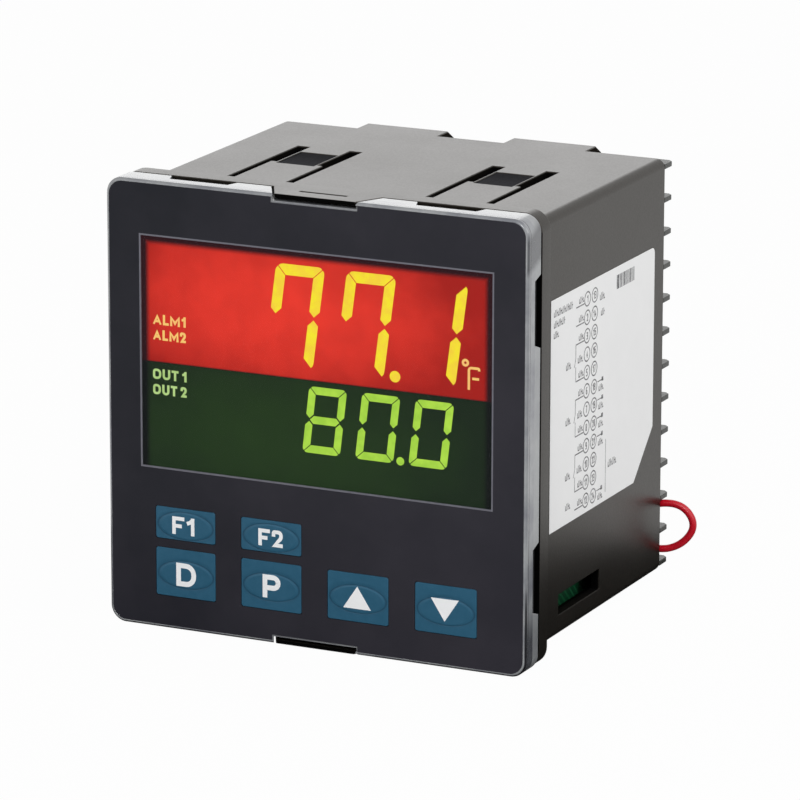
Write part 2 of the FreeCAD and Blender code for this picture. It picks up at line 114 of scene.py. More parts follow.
class Finish:
    """One material: node() adds any node, surface() feeds its shader, on() puts it on pieces."""

    def __init__(self, name):
        self.material = bpy.data.materials.new(name)
        self.material.use_nodes = True
        self.nodes = self.material.node_tree.nodes
        self.links = self.material.node_tree.links
        self.shader = self.nodes["Principled BSDF"]

    def node(self, kind, settings=None, values=None, out=0):
        made = self.nodes.new(kind)
        for key, setting in (settings or {}).items():
            if key == "stops":
                elements = made.color_ramp.elements
                while len(elements) < len(setting):
                    elements.new(0.5)
                for element, (position, colour) in zip(elements, setting):
                    element.position = position
                    element.color = (*colour, 1)
            else:
                setattr(made, key, setting)
        self.feed(made, values or {})
        return Value(self, made.outputs[out])

    def feed(self, node, values):
        for key, value in values.items():
            socket = node.inputs[key]
            if isinstance(value, Value):
                self.links.new(value.socket, socket)
            elif socket.type == "RGBA":
                socket.default_value = (*value, 1)
            else:
                socket.default_value = value

    def surface(self, values):
        self.feed(self.shader, values)
        return self

    def place(self):
        """The point on the object, in metres, as x, y and z values."""
        point = self.node("ShaderNodeTexCoord", out="Object")
        return [self.node("ShaderNodeSeparateXYZ", values={0: point}, out=axis)
                for axis in range(3)]

    def grain(self, per_metre, detail=3.0, rough=0.55, stretch=(1, 1, 1)):
        """Noise from 0 to 1 with that many grains per metre, stretched along the axes."""
        point = self.node("ShaderNodeTexCoord", out="Object")
        point = self.node("ShaderNodeMapping", values={"Vector": point, "Scale": stretch})
        return self.node("ShaderNodeTexNoise", values={
            "Vector": point, "Scale": per_metre, "Detail": detail, "Roughness": rough})

    def tint(self, share, first, second):
        """Colour between the first and the second, by a share from 0 to 1."""
        return self.node("ShaderNodeMix", {"data_type": "RGBA"},
                         {0: share, 6: first, 7: second}, out=2)

    def relief(self, height, depth, strength=1.0):
        """Normal of a surface whose height runs over that depth in metres."""
        return self.node("ShaderNodeBump", values={
            "Height": height, "Distance": depth, "Strength": strength})

    def on(self, *pieces):
        for piece in pieces:
            piece.data.materials.clear()
            piece.data.materials.append(self.material)
        return self


def fit(piece, finish, slot, body, *nodes):
    """The piece takes its finish, moves with that body and stands for those CAD nodes."""
    finish.on(piece)
    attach(piece, body)
    if nodes:
        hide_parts(*nodes)
    return piece


def shown(name, data):
    piece = bpy.data.objects.new(name, data)
    bpy.context.scene.collection.objects.link(piece)
    return piece


wire_radius = 0.0008
wire_route = (
    (0.0395, 0.0666, -0.0326), (0.0442, 0.0666, -0.0305), (0.0501, 0.0671, -0.0305),
    (0.0531, 0.0674, -0.0349), (0.0499, 0.0671, -0.0396), (0.0444, 0.0666, -0.0414),
    (0.0395, 0.0666, -0.0403),
)
wire_line = bpy.data.curves.new("jumper_insulation", "CURVE")
wire_line.dimensions = "3D"
wire_spline = wire_line.splines.new("NURBS")
wire_spline.points.add(len(wire_route) - 1)
for point, place in zip(wire_spline.points, wire_route):
    point.co = (*place, 1)
wire_spline.order_u = 3
wire_spline.use_endpoint_u = True
wire_spline.resolution_u = 20
wire_line.bevel_depth = wire_radius
wire_line.bevel_resolution = 6
wire_line.use_fill_caps = True
wire = shown("jumper_insulation", wire_line)

insulation = Finish("red_insulation")
streak = insulation.grain(900, 4.0, 0.6)
insulation.surface({
    "Base Color": insulation.tint(streak, (0.42, 0.003, 0.012), (0.52, 0.006, 0.020)),
    "Roughness": streak * 0.12 + 0.22,
    "Normal": insulation.relief(insulation.grain(5200, 2.0), 0.00002),
    "Specular IOR Level": 0.35,
})
fit(wire, insulation, "wire_red", "housing", "jumper_wire")


# ---- rear case
# A thin-walled sleeve with a square front collar, moulded in dark grey thermoplastic
# with a fine spark-eroded texture. It goes through the panel and holds all the boards.

merge_reach = 2e-6
flat_angle = math.radians(0.4)
edge_angle = math.radians(32)


def eased(node, width):
    """The CAD piece with broken edges: doubles merged, flat facets joined, then a small bevel."""
    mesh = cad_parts[node].data.copy()
    build = bmesh.new()
    build.from_mesh(mesh)
    bmesh.ops.remove_doubles(build, verts=build.verts, dist=merge_reach)
    bmesh.ops.dissolve_limit(build, angle_limit=flat_angle, verts=build.verts, edges=build.edges)
    for face in build.faces:
        face.smooth = True
    build.to_mesh(mesh)
    build.free()
    piece = shown(node + "_eased", mesh)
    bevel = piece.modifiers.new("broken edges", "BEVEL")
    bevel.width = width
    bevel.segments = 2
    bevel.limit_method = "ANGLE"
    bevel.angle_limit = edge_angle
    bevel.harden_normals = True
    flat = piece.modifiers.new("flat faces", "WEIGHTED_NORMAL")
    flat.weight = 100
    return piece


def moulded(name, dark, light, shine, specular=0.4, deep=None):
    """Textured thermoplastic: a spark-eroded bump with a speckle to match and faint flow shades.
    The function deep marks the faces of slots with 1 and all others with 0. There the colour is
    painted shade: near-black, and a metal's share with that black tone takes their reflection away."""
    finish = Finish(name)
    flow = finish.grain(45, 5.0, 0.6, (1, 1, 0.6))
    spark = finish.grain(2300, 2.0, 0.7)
    speck = spark.eased(0.32, 0.68)
    tone = finish.tint(speck * 0.75 + flow * 0.25, dark, light)
    roughness = shine + flow * 0.08 - speck * 0.03
    if deep:
        # Painted shade: the marked faces turn near-black and lose their reflection.
        share = deep(finish)
        tone = finish.tint(share, tone, (0.004, 0.004, 0.004))
        roughness = roughness + share * 0.6
        finish.surface({"Metallic": share})
    finish.surface({
        "Base Color": tone,
        "Roughness": roughness,
        "Normal": finish.relief(spark, 0.00007, 0.25),
        "Specular IOR Level": specular,
    })
    return finish


under_skin = (0.0451, 0.0454)      # nearer to the middle than this is under the outer skin
corner_reach = (0.0870, 0.0875)    # x and z together, where the long round edges begin
tongue_end_y = -0.0106
collar_front_y = -0.0042
side_notch_reach = (0.0440, 0.0445)    # how far up and down the notches show the collar
blend = 0.0001


def painted_slot_shade(finish):
    """Faces that get painted shade: the sides of the slots and vents, the inside, the front ends of
    the latch tongues, and the collar's front face where the bezel's side notches show it."""
    x, y, z = finish.place()
    x, z = x.size(), z.size()
    below = x.most(z).eased(*under_skin, 1.0, 0.0)
    off_corner = (x + z).eased(*corner_reach, 1.0, 0.0)
    tongue_end = (y - tongue_end_y).eased(-blend, blend, 1.0, 0.0)
    collar_face = (y - collar_front_y).eased(-blend, blend, 1.0, 0.0)
    collar_face = collar_face * z.eased(*side_notch_reach, 1.0, 0.0)
    return (below * off_corner).most(tongue_end).most(collar_face)


case_plastic = moulded("case_plastic", (0.0032, 0.0028, 0.0023), (0.0118, 0.0104, 0.0084),
                       0.28, 0.38, painted_slot_shade)
case_plastic.surface({"Specular Tint": (1.0, 0.90, 0.78)})
fit(eased("rear_case", 0.00022), case_plastic, "case_plastic", "housing", "rear_case")


# ---- clip racks
# Small black saw-toothed racks in the top and bottom walls. The panel clips ratchet
# along them, so they are moulded in a harder, duller plastic.

teeth_per_metre = 900.0
rack_plastic = Finish("rack_plastic")
# Painted shade: the colour runs from near-black in each tooth's valley to a lighter grey at its
# crest, following the bump.
tooth_relief_and_shade = (rack_plastic.place()[1] * (2.0 * teeth_per_metre)).folded(1.0)
rack_plastic.surface({
    "Base Color": rack_plastic.tint(tooth_relief_and_shade, (0.003, 0.003, 0.004), (0.020, 0.020, 0.023)),
    "Roughness": rack_plastic.grain(2300, 2.0) * 0.15 + 0.6,
    "Normal": rack_plastic.relief(tooth_relief_and_shade, 0.0001, 0.5),
    "Specular IOR Level": 0.12,
})
fit(eased("clip_racks", 0.00005), rack_plastic, "rack_plastic", "housing", "clip_racks")


# ---- terminal barriers, terminal blocks and rear cover
# Barriers of the case's own plastic keep neighbouring wires apart. The blocks behind
# them are black, and a plain cover with a shallow recess closes the middle of the rear.

rear_plastic = moulded("rear_plastic", (0.014, 0.015, 0.013), (0.046, 0.047, 0.042), 0.38)
for side in ("right", "left"):
    node = "barriers_" + side
    fit(eased(node, 0.00012), rear_plastic, "case_plastic", "housing", node)
fit(eased("rear_cover", 0.0002), rear_plastic, "case_plastic", "housing", "rear_cover")

block_plastic = moulded("block_plastic", (0.012, 0.012, 0.013), (0.026, 0.026, 0.028), 0.42)
for side in ("right", "left"):
    node = "terminal_block_" + side
    fit(eased(node, 0.00015), block_plastic, "black_plastic", "housing", node)


# ---- terminal screws, clamps and contact plates
# Zinc-plated pan-head screws with a cross recess press square clamps on to nickel-plated
# contact plates. The bare ends of the jumper lie under two of them.

def plated(name, tone, shine):
    """Plated metal: bright, with fine rolling lines and slight stains."""
    finish = Finish(name)
    stain = finish.grain(320, 4.0, 0.6)
    lines = finish.grain(2600, 2.0, 0.5, (0.15, 1, 1))
    finish.surface({
        "Base Color": finish.tint(stain, tone, tuple(0.8 * part for part in tone)),
        "Metallic": 1.0,
        "Roughness": shine + stain * 0.12 + lines * 0.06,
        "Normal": finish.relief(lines, 0.00001, 0.4),
    })
    return finish


def grid_faces(rows, columns, offset=0):
    """Quads of a grid of that many rows and columns, whose last column joins the first."""
    row = np.arange(rows - 1)[:, None] * columns
    here = np.arange(columns)[None, :]
    after = (here + 1) % columns
    quads = [row + here, row + after, row + columns + after, row + columns + here]
    return np.stack(quads, -1).reshape(-1, 4) + offset


def surface_mesh(name, points, faces, smooth=True):
    """A mesh of those points and faces, with doubles merged and its faces turned outward."""
    mesh = bpy.data.meshes.new(name)
    points = np.asarray(points, float).reshape(-1, 3)
    mesh.from_pydata(points.tolist(), [], [list(face) for face in faces])
    build = bmesh.new()
    build.from_mesh(mesh)
    bmesh.ops.remove_doubles(build, verts=build.verts, dist=1e-7)
    bmesh.ops.recalc_face_normals(build, faces=build.faces)
    for face in build.faces:
        face.smooth = smooth
    build.to_mesh(mesh)
    build.free()
    return mesh


screw_x = 0.0345
screw_seat = 0.0671
head_radius = 0.0024
head_height = 0.0016
crown_fall = 0.22                  # share of the height that the crown loses at its rim
side_share = 0.74                  # height of the side wall, as a share of the head's
recess_depth = 0.0009
arm_width, arm_length = 0.00036, 0.0015
arm_flank, arm_end = 0.00005, 0.00009
way_pitch = 0.0073
ways = 12


def screw_heads():
    """Pan heads on a polar grid. The height falls with the square of the radius, drops into a
    cross where both arms of a smooth plus are deep, and ends in a straight side wall."""
    turn = np.linspace(0, 2 * math.pi, 48, endpoint=False)
    reach = np.concatenate([np.linspace(0.0, 0.985, 18), [1.0, 1.0]])[:, None]
    x = head_radius * reach * np.cos(turn)
    z = head_radius * reach * np.sin(turn)
    crown = head_height * (1 - crown_fall * reach ** 2) + 0 * turn

    def arm(across, along):
        """1 inside one arm of the plus and 0 outside, with soft flanks and ends."""
        return (1 / (1 + np.exp((np.abs(across) - arm_width) / arm_flank))
                / (1 + np.exp((np.abs(along) - arm_length) / arm_end)))

    cross = np.maximum(arm(x, z), arm(z, x))
    y = crown - recess_depth * cross
    y[-2] = head_height * side_share
    y[-1] = 0.0
    heads, faces = [], []
    rows, columns = y.shape
    for side in (-1, 1):
        for i in range(ways):
            cz = way_pitch * (i - (ways - 1) / 2)
            faces.append(grid_faces(rows, columns, len(heads) * rows * columns))
            heads.append(np.stack([side * screw_x + x, screw_seat + y, cz + z], -1))
    return surface_mesh("terminal_screw_heads", np.concatenate(heads), np.concatenate(faces))


zinc = plated("zinc_plate", (0.62, 0.61, 0.58), 0.26)
fit(shown("terminal_screw_heads", screw_heads()), zinc, "screw_steel", "housing", "terminal_screws")
nickel = plated("nickel_plate", (0.60, 0.59, 0.55), 0.30)
for node in ("contact_plates", "wire_clamps"):
    fit(eased(node, 0.00012), nickel, "plated", "housing", node)
tin = plated("tinned_copper", (0.68, 0.66, 0.62), 0.32)
tin.on(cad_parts["jumper_ends"])


# ---- side label
# A satin polyester sticker on the right wall, with a grey printed plan of the terminals:
# two columns of numbered circles, contact signs beside them and a field of plain bars.

label_paper = Finish("label_polyester")
mottle = label_paper.grain(140, 4.0, 0.6)
label_paper.surface({
    "Base Color": label_paper.tint(mottle, (0.76, 0.76, 0.76), (0.82, 0.82, 0.82)),
    "Roughness": mottle * 0.15 + 0.38,
    "Normal": label_paper.relief(label_paper.grain(900, 2.0), 0.00002, 0.4),
})
fit(eased("side_label", 0.00004), label_paper, "label_white", "housing", "side_label")

print_x = 0.04562
print_rise = 0.00001
row_top = 0.0240
row_pitch = 0.00393
number_columns = (0.0244, 0.0282)
number_radius = 0.0015
number_width, number_height = 0.00074, 0.0016
digit_line, digit_gap = 0.00027, 0.00014
ring_line, lead_line, small_line, sign_line = 0.00028, 0.00027, 0.00026, 0.00022
lead_start, lead_end = 0.0186, 0.0228
lead_drop = 0.0007
bare_rows = (3, 6, 9)
note_y, note_height = 0.0202, 0.0014
stroke_pitch, dash_length = 0.00064, 0.00048
contact_rows = ((2, 4), (5, 7), (8, 10))
contact_drop, contact_gap, contact_slant = 0.0006, 0.0009, 0.0007
square_rows = (5, 6, 7, 8, 11)
square_start, square_y = 0.0300, 0.0326
square_side, square_rise = 0.0009, 0.0006
bracket_y, bracket_low, bracket_high, bracket_line = 0.0347, -0.0200, -0.0085, 0.00018
bar_low, bar_high = 0.0227, 0.0257
bar_start, bar_space = 0.0398, 0.56
loose_notes = (
    (0.0074, 0.0237, 15, 0.0015), (0.0074, 0.0214, 9, 0.0015), (0.0074, 0.0192, 4, 0.0015),
    (0.0140, -0.0190, 4, 0.0015), (0.0310, 0.0222, 4, 0.0016), (0.0316, 0.0188, 3, 0.0015),
)


def rounded(path, width, height):
    """Points of a path given in shares of a width and height. A corner with a third value is
    turned along an arc of that share of the height, or as much as its two runs allow."""
    points = [np.array([p[0] * width, p[1] * height]) for p in path]
    line = [points[0]]
    for before, here, after, share in zip(points, points[1:], points[2:], path[1:-1]):
        radius = share[2] * height if len(share) > 2 else 0.0
        back, on = before - here, after - here
        reach = 0.499 * min(np.hypot(*back), np.hypot(*on))
        back, on = back / np.hypot(*back), on / np.hypot(*on)
        half = 0.5 * math.acos(max(-1.0, min(1.0, float(back @ on))))
        if radius == 0.0 or half > 1.5:
            line.append(here)
            continue
        along = min(radius / math.tan(half), reach)
        radius = along * math.tan(half)
        middle = here + (back + on) / np.hypot(*(back + on)) * radius / math.sin(half)
        start, stop = here + back * along - middle, here + on * along - middle
        sweep = math.atan2(start[0] * stop[1] - start[1] * stop[0], start @ stop)
        for turn in np.linspace(0, sweep, 6):
            c, n = math.cos(turn), math.sin(turn)
            line.append(middle + [c * start[0] - n * start[1], n * start[0] + c * start[1]])
    return np.array(line + [points[-1]])


def ribbon(line, width, low, high):
    """A bar of rectangular section carried along a flat line. Each corner's edges stand half
    the width away along its mitre; low and high are its lower and upper face."""
    run = np.diff(line, axis=0)
    run /= np.hypot(run[:, 0], run[:, 1])[:, None]
    normal = np.column_stack([-run[:, 1], run[:, 0]])
    looped = np.allclose(line[0], line[-1])
    first = np.vstack([normal[-1:] if looped else normal[:1], normal])
    last = np.vstack([normal, normal[:1] if looped else normal[-1:]])
    mitre = (first + last) / (1 + (first * last).sum(1, keepdims=True)).clip(0.25)
    left, right = line + mitre * width / 2, line - mitre * width / 2
    up, down = np.full((len(line), 1), high), np.full((len(line), 1), low)
    points = np.stack([np.hstack([left, up]), np.hstack([right, up]),
                       np.hstack([right, down]), np.hstack([left, down])], 1)
    faces = grid_faces(len(line), 4).tolist()
    end = 4 * len(line) - 4
    faces += [[3, 2, 1, 0], [end, end + 1, end + 2, end + 3]]
    return points.reshape(-1, 3), faces


def marks_mesh(name, bars, place):
    """One mesh of many bars; place turns their flat x, y and height into the object's frame."""
    points, faces, count = [], [], 0
    for bar_points, bar_faces in bars:
        points.append(bar_points)
        faces += [[corner + count for corner in face] for face in bar_faces]
        count += len(bar_points)
    return surface_mesh(name, place(np.concatenate(points)), faces, smooth=False)


# Plain upright letters and digits: a width as a share of the height, and the strokes' paths.
letters = {
    "A": (0.86, [[(0, 0), (0.5, 1), (1, 0)], [(0.25, 0.28), (0.75, 0.28)]]),
    "D": (0.74, [[(0, 0.5), (0, 1), (1, 1, 0.46), (1, 0, 0.46), (0, 0), (0, 0.5)]]),
    "F": (0.66, [[(0, 0), (0, 1), (1, 1)], [(0, 0.47), (0.7, 0.47)]]),
    "L": (0.58, [[(0, 1), (0, 0), (1, 0)]]),
    "M": (0.98, [[(0, 0), (0, 1), (0.5, 0.22), (1, 1), (1, 0)]]),
    "O": (0.80, [[(0, 0.5), (0, 1, 0.4), (1, 1, 0.4), (1, 0, 0.4), (0, 0, 0.4), (0, 0.5)]]),
    "P": (0.70, [[(0, 0), (0, 1)], [(0, 1), (1, 1, 0.29), (1, 0.42, 0.29), (0, 0.42)]]),
    "T": (0.66, [[(0, 1), (1, 1)], [(0.5, 0), (0.5, 1)]]),
    "U": (0.74, [[(0, 1), (0, 0, 0.32), (1, 0, 0.32), (1, 1)]]),
    "0": (0.60, [[(0, 0.5), (0, 1, 0.3), (1, 1, 0.3), (1, 0, 0.3), (0, 0, 0.3), (0, 0.5)]]),
    "1": (0.44, [[(1, 0), (1, 1)], [(0.1, 0.76), (0.5, 0.82, 0.3), (0.9, 1)]]),
    "2": (0.62, [[(0, 0.78), (0, 1, 0.3), (1, 1, 0.3), (1, 0.55, 0.3), (0, 0), (1, 0)]]),
    "3": (0.56, [[(0, 1), (1, 1, 0.25), (1, 0.52, 0.2), (0.3, 0.52)],
                 [(0.4, 0.5), (1, 0.5, 0.2), (1, 0, 0.25), (0, 0)]]),
    "4": (0.62, [[(0.75, 0), (0.75, 1), (0, 0.28), (1, 0.28)]]),
    "5": (0.56, [[(1, 1), (0, 1), (0, 0.56), (1, 0.58, 0.25), (1, 0, 0.25), (0, 0)]]),
    "6": (0.58, [[(0.9, 1), (0, 1, 0.3), (0, 0, 0.25), (1, 0, 0.25), (1, 0.56, 0.25),
                  (0.1, 0.56)]]),
    "7": (0.56, [[(0, 1), (1, 1), (0.35, 0)]]),
    "8": (0.58, [[(0, 0.75), (0, 1, 0.2), (1, 1, 0.2), (1, 0.53, 0.2), (0, 0.53, 0.2), (0, 0.75)],
                 [(0, 0.25), (0, 0.5, 0.2), (1, 0.5, 0.2), (1, 0, 0.2), (0, 0, 0.2), (0, 0.25)]]),
    "9": (0.58, [[(0.1, 0), (1, 0, 0.3), (1, 1, 0.25), (0, 1, 0.25), (0, 0.44, 0.25),
                  (0.9, 0.44)]]),
    " ": (0.06, []),
}
stroke_step = 2e-6


def capped(line, reach):
    """The line with both its ends carried on by that reach, unless it closes on itself."""
    if not np.allclose(line[0], line[-1]):
        for end, inner in ((0, 1), (-1, -2)):
            run = line[end] - line[inner]
            line[end] = line[end] + run * (reach / np.hypot(*run))
    return line


def word(text, left, bottom, width, height, line, gap, low, high):
    """Bars of a word that fills a box. Letters share the width by their own shares, with a gap
    between them; each further stroke of a letter lies 2 micrometres lower than the last."""
    shares = [letters[char][0] for char in text]
    scale = (width - gap * (len(text) - 1)) / sum(shares)
    bars = []
    for char, share in zip(text, shares):
        for step, path in enumerate(letters[char][1]):
            inner = capped(rounded(path, share * scale - line, height - line), line / 2)
            points, faces = ribbon(inner, line, low, high - stroke_step * step)
            points[:, 0] = points[:, 0].clip(-line / 2, share * scale - line / 2) + left + line / 2
            points[:, 1] = points[:, 1].clip(-line / 2, height - line / 2) + bottom + line / 2
            bars.append((points, faces))
        left += share * scale + gap
    return bars


def on_right_wall(flat):
    """A point's first value runs back along y, the second up along z, the third out along x."""
    return flat[:, [2, 0, 1]]


def terminal_plan():
    """Bars of the printed plan: numbered circles, leads, rows of small print and a bar field."""
    low, high = print_x, print_x + print_rise
    turn = np.linspace(0, 2 * math.pi, 25)

    def bar(y0, z0, y1, z1, width, step=0):
        """A straight bar. Where it crosses another, a step lifts it by 0.2 micrometres."""
        return ribbon(np.array([[y0, z0], [y1, z1]]), width, low, high + 2e-7 * step)

    def small_print(y, z, count, height):
        """Short uprights with dashes between them, as a line of print looks from afar. Of every
        three uprights, the first is shorter with a low dash, and the third has one halfway up."""
        out = []
        for i in range(count):
            here = y + stroke_pitch * i
            tall, dash = ((0.75, 0.1), (1.0, None), (1.0, 0.5))[i % 3]
            out.append(bar(here, z, here, z + height * tall, small_line))
            if dash is not None:
                level = z + height * dash
                out.append(bar(here, level, here + dash_length, level, small_line, 1))
        return out

    bars = []
    for i in range(ways):
        z = row_top - i * row_pitch
        for column, y in enumerate(number_columns):
            ring = np.column_stack([y + number_radius * np.cos(turn),
                                    z + number_radius * np.sin(turn)])
            bars.append(ribbon(ring, ring_line, low, high))
            text = str(1 + i + ways * column)
            width = number_width * len(text)
            bars += word(text, y - width / 2, z - number_height / 2, width, number_height,
                         digit_line, digit_gap, low, high)
        if i not in bare_rows:
            bars.append(bar(lead_start, z - lead_drop, lead_end, z - lead_drop, lead_line))
            bars += small_print(note_y, z - 0.0002, 4, note_height)

    # Relay contacts: a long upright, broken in the middle by a slanting contact.
    for first, last in contact_rows:
        z0, z1 = (row_top - row * row_pitch - contact_drop for row in (first, last))
        middle = (z0 + z1) / 2
        upper, lower = middle + contact_gap, middle - contact_gap
        bars.append(bar(lead_start, z0, lead_start, upper, sign_line))
        bars.append(bar(lead_start, upper, lead_start - contact_slant, lower, sign_line))
        bars.append(bar(lead_start, lower, lead_start, z1, sign_line))
        bars += small_print(0.0198, middle - 0.0004, 4, 0.0016)
        bars += small_print(0.0138, middle - 0.0006, 4, 0.0016)
    for y, z, count, height in loose_notes:
        bars += small_print(y, z, count, height)

    # Leads that end in a square, and an upright beside the last of them.
    for i in square_rows:
        z = row_top - i * row_pitch + square_rise
        bars.append(bar(square_start, z, square_y, z, sign_line))
        bars.append(bar(square_y, z - 0.0003, square_y, z + 0.0006, square_side))
        bars += small_print(0.0308, z - 0.0022, 4, note_height)
    bars.append(bar(bracket_y, bracket_low, bracket_y, bracket_high, bracket_line))
    bars += small_print(0.0361, -0.0150, 7, 0.0016)

    # The bar field. Its widths, in millimetres, stand for nothing.
    y = bar_start
    for width in (0.30, 0.95, 0.40, 0.60, 0.30, 0.80, 0.35, 0.50, 0.30, 0.70, 0.30, 0.40):
        bars.append(bar(y, bar_low, y, bar_high, width * 0.001))
        y += (width * 0.5 + bar_space) * 0.001
    return bars


plan = shown("label_plan", marks_mesh("label_plan", terminal_plan(), on_right_wall))
ink = Finish("grey_ink")
wear = ink.grain(1700, 3.0, 0.6).eased(0.35, 0.75)
ink.surface({"Base Color": ink.tint(wear, (0.03, 0.03, 0.033), (0.30, 0.30, 0.31)),
             "Roughness": wear * 0.15 + 0.45})
fit(plan, ink, "label_white", "housing")


# ---- circuit boards and what they carry
# Green glass-fibre boards stand along both side walls, across the front and across the rear.
# They carry a transformer, capacitors, relays, couplers, chips and their connectors.

# Depths where the painted shade on the boards begins and ends.
board_shade_front = (0.0300, 0.0325)
board_shade_rear = (0.0620, 0.0640)


def board_finish():
    """Solder mask over copper: straight tracks show as lighter, slightly raised bands. Behind the
    front connectors the side boards are painted near-black: painted shade deep in the case."""
    finish = Finish("solder_mask")
    _, y, z = finish.place()
    warp = finish.grain(60, 1.0, 0.4)
    tracks = ((y + z) * 900.0 + warp * 1.2).folded(1.0).eased(0.62, 0.74)
    weave = finish.grain(3000, 2.0)
    mask = finish.tint(tracks, (0.004, 0.050, 0.020), (0.012, 0.115, 0.045))
    # Painted shade: between these depths the boards' colour turns near-black.
    board_shade = y.eased(*board_shade_front) * y.eased(*board_shade_rear, 1.0, 0.0)
    finish.surface({
        "Base Color": finish.tint(board_shade * 0.93, mask, (0.002, 0.005, 0.003)),
        "Roughness": weave * 0.1 + 0.28,
        "Normal": finish.relief(tracks * 0.8 + weave * 0.2, 0.00004, 0.6),
    })
    return finish


def plain(name, dark, light, shine, metal=0.0, per_metre=700):
    """A simple moulded or metal part: a mottled colour, with roughness and bump to match."""
    finish = Finish(name)
    mottle = finish.grain(per_metre, 4.0, 0.6)
    finish.surface({
        "Base Color": finish.tint(mottle, dark, light),
        "Roughness": mottle * 0.12 + shine,
        "Metallic": metal,
        "Normal": finish.relief(finish.grain(per_metre * 5, 2.0), 0.00003, 0.4),
    })
    return finish


def dress(finish, *names):
    finish.on(*[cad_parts[name] for name in names])


dress(board_finish(), "display_board", "io_board", "power_board", "rear_board")
dress(plain("header_plastic", (0.012, 0.012, 0.013), (0.03, 0.03, 0.03), 0.4), "board_connectors")
dress(plain("chip_epoxy", (0.012, 0.012, 0.014), (0.03, 0.03, 0.034), 0.45, 0.0, 2500),
      "processor", "microcontroller", "small_parts", "regulator")
dress(plain("core_sheets", (0.16, 0.16, 0.17), (0.28, 0.27, 0.27), 0.45, 0.9), "transformer_core")
dress(plain("winding_tape", (0.36, 0.13, 0.02), (0.52, 0.22, 0.05), 0.35), "transformer_windings")
dress(plain("bobbin_nylon", (0.60, 0.57, 0.48), (0.70, 0.67, 0.58), 0.5), "transformer_bobbin")
dress(plain("can_sleeve", (0.02, 0.03, 0.10), (0.035, 0.05, 0.15), 0.25), "filter_capacitors")
dress(plain("sink_aluminium", (0.50, 0.50, 0.52), (0.62, 0.62, 0.64), 0.35, 1.0), "heat_sink")
dress(plain("relay_case", (0.02, 0.05, 0.20), (0.03, 0.07, 0.27), 0.35), "output_relays")
dress(plain("coupler_epoxy", (0.62, 0.61, 0.58), (0.72, 0.71, 0.68), 0.45), "opto_couplers")
dress(plain("dome_steel", (0.55, 0.55, 0.53), (0.66, 0.66, 0.63), 0.25, 1.0), "key_domes")
dress(plain("backlight_white", (0.74, 0.74, 0.72), (0.82, 0.82, 0.80), 0.5), "backlight_box")
dress(plain("lamp_resin", (0.75, 0.70, 0.40), (0.88, 0.84, 0.55), 0.3), "backlight_lamps")
dress(plain("panel_glass", (0.02, 0.025, 0.025), (0.035, 0.04, 0.04), 0.12), "lcd_glass")
dress(plain("seal_rubber", (0.008, 0.008, 0.009), (0.018, 0.018, 0.02), 0.7), "seal_ring")


# ---- front bezel
# A glossy pale grey moulding that frames the film. Its rear edge is notched twice on each
# side, and the case's latch tongues lie in the gaps at top and bottom.

parting_y = -0.0098
shade_line_y = -0.0106
thin_rim_y = -0.0076
rim_face_y = -0.01085
film_seat_y = -0.0107
latch_half = (0.0130, 0.0134)
foot = (-0.041, -0.031)
band_z, band_slant = 0.0448, 0.4
shade_tone = (0.020, 0.022, 0.030)
groove_shade_tone = (0.008, 0.008, 0.010)

bezel_plastic = Finish("bezel_plastic")
bx, by, bz = bezel_plastic.place()
haze = bezel_plastic.grain(90, 4.0, 0.6)
drawn = bezel_plastic.grain(1400, 3.0, 0.6, (1, 1, 0.05))
streaks = haze.eased(0.32, 0.68) * 0.8 + drawn * 0.2
body_tone = bezel_plastic.tint(streaks, (0.13, 0.135, 0.16), (0.31, 0.32, 0.325))
# Painted highlight: the rear rim gets a paler tone than the body.
rim_highlight_tone = bezel_plastic.tint(haze, (0.24, 0.25, 0.255), (0.32, 0.33, 0.33))
rear_rim = (by - thin_rim_y).eased(-0.0001, 0.0002)
bezel_tone = bezel_plastic.tint(rear_rim * 0.6, body_tone, rim_highlight_tone)

# Painted reflection: the colour is darker at the foot and in a slanting band at the top, where the
# gloss mirrors dark surroundings. The front rim and the bare rim round the latch notches stay pale.
# Two fine lines run round behind the front rim: the parting groove and a line further forward, both
# coloured dark as painted shade, the forward one mostly towards the foot.
latch_rim = bx.size().eased(*latch_half, 1.0, 0.0)
latch_rim = latch_rim * (by - film_seat_y).eased(-0.00003, 0.00003, 1.0, 0.0)
side_skin = (by - rim_face_y).eased(-0.00008, 0.00008) * (1.0 - latch_rim)
lower_shade = bz.eased(*foot, 0.82, 0.0) * (1.0 - rear_rim * 0.7) * side_skin
upper_shade = (bz - by * band_slant - band_z).size().eased(0.0025, 0.0050, 0.80, 0.0) * side_skin
bezel_tone = bezel_plastic.tint(lower_shade.most(upper_shade), bezel_tone, shade_tone)
# Painted shade: the parting line's groove and a line just behind the front rim are coloured dark.
parting = 1.0 - (by - parting_y).size().eased(0.00004, 0.00013)
shade_line = (by - shade_line_y).size().eased(0.00010, 0.00028, 1.0, 0.0)
shade_line = shade_line * bz.eased(-0.034, -0.026, 0.95, 0.15) * (1.0 - latch_rim)
bezel_plastic.surface({
    "Base Color": bezel_plastic.tint((parting * 0.85).most(shade_line), bezel_tone, groove_shade_tone),
    "Roughness": haze * 0.10 + 0.20,
    "Normal": bezel_plastic.relief(drawn * 0.1 - parting, 0.00006, 0.6),
    "Coat Weight": 0.4,
    "Coat Roughness": 0.10,
})
fit(eased("front_bezel", 0.00025), bezel_plastic, "bezel_plastic", "housing", "front_bezel")


# ---- lit display
# Two backlit fields of a liquid-crystal panel, red above and dark green below. Slanted bar
# digits and small status words glow in front of them, darker towards the panel's edges.

field_left, field_right = -0.0397, 0.0387
red_low, red_high = 0.0090, 0.0352
green_low, green_high = -0.0142, 0.0094
lit_depth = 0.0096
outer_fade, inner_fade = 0.0013, 0.0006
glow_width, glow_height = 0.040, 0.012


